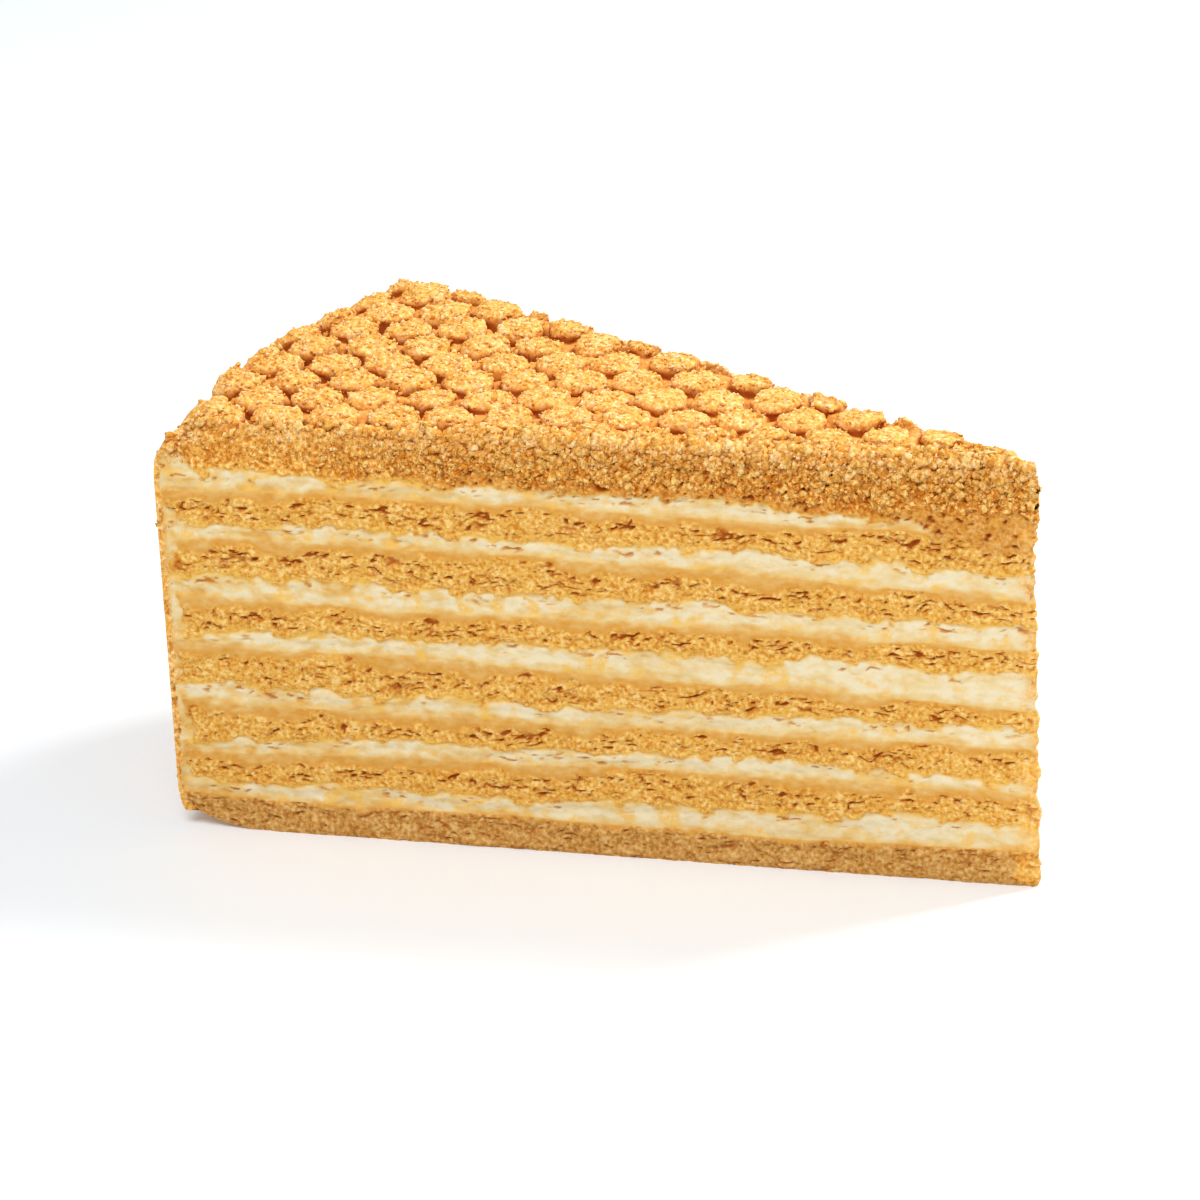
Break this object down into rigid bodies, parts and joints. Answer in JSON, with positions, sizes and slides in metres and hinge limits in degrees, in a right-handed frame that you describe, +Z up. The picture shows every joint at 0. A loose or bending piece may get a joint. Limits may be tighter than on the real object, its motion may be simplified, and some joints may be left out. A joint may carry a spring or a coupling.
{
  "type": "mille feuille slice",
  "caption": "Wedge slice of mille feuille honey cake: thin cake layers with cream between, a crumb-coated rim and a honeycomb of crumb mounds on top.",
  "frame": {"origin": "middle of the bounding box's underside, on the surface that the slice stands on", "axes": "+X along the middle of the slice, from the coated rim to the tip; +Z up; Y across, with the pictured cut face towards -Y"},
  "size_m": [0.1188, 0.062, 0.0602],
  "materials": {
    "base_cake": "matte, darker brown granular cake",
    "cake": "matte, golden-brown porous honey cake, smoother where cream has soaked in",
    "crumb_top": "matte, rough golden crumb mounds",
    "cream": "soft, slightly satin, ivory-yellow cream",
    "crumb_coat": "matte, golden crumb coat"
  },
  "bodies": {
    "root": {"cake_1": "base_cake", "cake_2": "cake", "cake_3": "cake", "cake_4": "cake", "cake_5": "cake", "cake_6": "cake", "cake_7": "cake", "cake_8_top": "crumb_top", "cream_1": "cream", "cream_2": "cream", "cream_3": "cream", "cream_4": "cream", "cream_5": "cream", "cream_6": "cream", "cream_7": "cream", "rim_cream": "cream", "rim_crumbs": "crumb_coat"}
  },
  "joints": []
}
